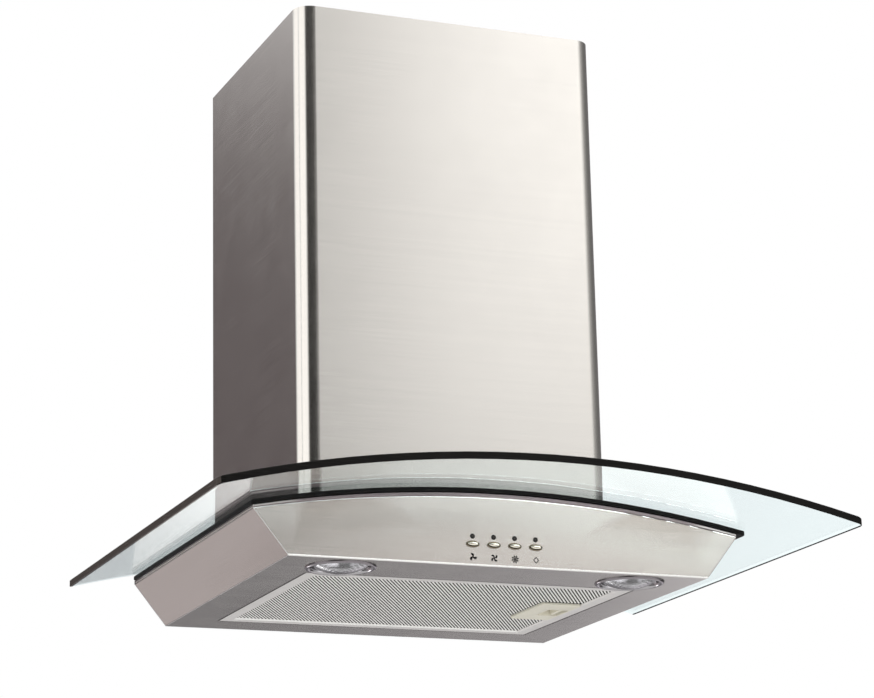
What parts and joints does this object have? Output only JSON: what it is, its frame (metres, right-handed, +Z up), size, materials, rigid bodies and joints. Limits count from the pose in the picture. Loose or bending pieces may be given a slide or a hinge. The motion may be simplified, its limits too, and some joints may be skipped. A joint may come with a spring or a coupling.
{
  "type": "curved glass range hood",
  "caption": "Wall-mounted chimney range hood: arched clear glass canopy over a steel body with push buttons, lamps, a swing-down grease filter and a telescopic chimney.",
  "frame": {"origin": "on the wall plane, at the middle of the lower rear edge of the hood body", "axes": "+X to the right as seen from the front, +Y into the wall, +Z up"},
  "size_m": [0.6, 0.481, 0.5575],
  "materials": {
    "brushed_steel": "fine straight brush, satin",
    "galvanised": "dull zinc-coated sheet",
    "clear_glass": "toughened clear float glass, polished edge",
    "seal_rubber": "matt black",
    "zinc_screw": "zinc plated",
    "chrome": "polished chrome plate",
    "lens_glass": "moulded lamp lens",
    "reflector": "polished reflector",
    "bulb": "quartz capsule",
    "filter_alu": "washed aluminium",
    "mesh_alu": "expanded aluminium",
    "cream_plastic": "moulded, fine texture",
    "grey_plastic": "moulded",
    "black_plastic": "moulded",
    "white_plastic": "moulded",
    "motor_steel": "satin grey paint",
    "shaft_steel": "ground steel",
    "indicator": "smoked lens",
    "board": "solder mask"
  },
  "bodies": {
    "root": {"canopy_shell": "brushed_steel", "back_panel": "galvanised", "top_deck": "brushed_steel", "deck_rim": "brushed_steel", "glass_seal": "seal_rubber", "glass_canopy": "clear_glass", "glass_grommets": "seal_rubber", "glass_screws": "zinc_screw", "glass_nuts": "zinc_screw", "chimney_cover": "brushed_steel", "chimney_brackets": "galvanised", "flue_wall_bracket": "galvanised", "hanger_plate": "galvanised", "blower_box": "galvanised", "blower_box_top": "galvanised", "blower_box_screws": "zinc_screw", "scroll_left": "grey_plastic", "scroll_right": "grey_plastic", "motor": "motor_steel", "motor_bracket": "galvanised", "run_capacitor": "white_plastic", "outlet_collar": "black_plastic", "collar_plate": "black_plastic", "blower_foot_frame": "galvanised", "damper_bar": "black_plastic", "cable_gland": "black_plastic", "terminal_box": "white_plastic", "terminal_box_lid": "white_plastic", "terminal_block": "white_plastic", "lamp_transformer": "white_plastic", "switch_bank": "black_plastic", "switch_board": "board", "button_bezels": "chrome", "indicator_lenses": "indicator", "lamp_ring_left": "chrome", "lamp_ring_right": "chrome", "lamp_lens_left": "lens_glass", "lamp_lens_right": "lens_glass", "lamp_reflector_left": "reflector", "lamp_reflector_right": "reflector", "lamp_bulbs": "bulb", "lamp_clips": "zinc_screw"},
    "chimney_extension": {"chimney_extension": "brushed_steel"},
    "filter": {"filter_frame": "filter_alu", "filter_mesh_lower": "mesh_alu", "filter_core": "mesh_alu", "filter_mesh_upper": "mesh_alu", "filter_handle": "cream_plastic", "filter_hooks": "zinc_screw"},
    "filter_latch": {"filter_latch": "cream_plastic"},
    "button_1": {"button_1": "chrome"},
    "button_2": {"button_2": "chrome"},
    "button_3": {"button_3": "chrome"},
    "button_4": {"button_4": "chrome"},
    "fan_rotor": {"impeller_disc": "galvanised", "fan_blades": "galvanised", "fan_rings": "galvanised", "motor_shaft": "shaft_steel"},
    "damper_flap_front": {"damper_flap_front": "grey_plastic"},
    "damper_flap_rear": {"damper_flap_rear": "grey_plastic"}
  },
  "joints": [
    {"name": "chimney_slide", "type": "slide", "parent": "root", "child": "chimney_extension", "axis": [0, 0, 1], "range_m": [0, 0.25]},
    {"name": "filter_swing", "type": "hinge", "parent": "root", "child": "filter", "pos_m": [-0.16, -0.1695, 0.0005], "axis": [0, 1, 0], "range_deg": [0, 80]},
    {"name": "filter_latch_pull", "type": "slide", "parent": "filter", "child": "filter_latch", "axis": [-1, 0, 0], "range_m": [0, 0.005], "stiffness_N_per_m": 500, "springref_m": -0.002},
    {"name": "fan_spin", "type": "hinge", "parent": "root", "child": "fan_rotor", "pos_m": [0, -0.09, 0.168], "axis": [1, 0, 0], "continuous": true},
    {"name": "damper_front_lift", "type": "hinge", "parent": "root", "child": "damper_flap_front", "pos_m": [0, -0.1342, 0.2945], "axis": [-1, 0, 0], "range_deg": [0, 75]},
    {"name": "damper_rear_lift", "type": "hinge", "parent": "root", "child": "damper_flap_rear", "pos_m": [0, -0.1258, 0.2945], "axis": [1, 0, 0], "range_deg": [0, 75]},
    {"name": "button_1_press", "type": "slide", "parent": "root", "child": "button_1", "axis": [0, 1, 0], "range_m": [0, 0.002], "stiffness_N_per_m": 600, "springref_m": -0.001},
    {"name": "button_2_press", "type": "slide", "parent": "root", "child": "button_2", "axis": [0, 1, 0], "range_m": [0, 0.002], "stiffness_N_per_m": 600, "springref_m": -0.001},
    {"name": "button_3_press", "type": "slide", "parent": "root", "child": "button_3", "axis": [0, 1, 0], "range_m": [0, 0.002], "stiffness_N_per_m": 600, "springref_m": -0.001},
    {"name": "button_4_press", "type": "slide", "parent": "root", "child": "button_4", "axis": [0, 1, 0], "range_m": [0, 0.002], "stiffness_N_per_m": 600, "springref_m": -0.001}
  ]
}
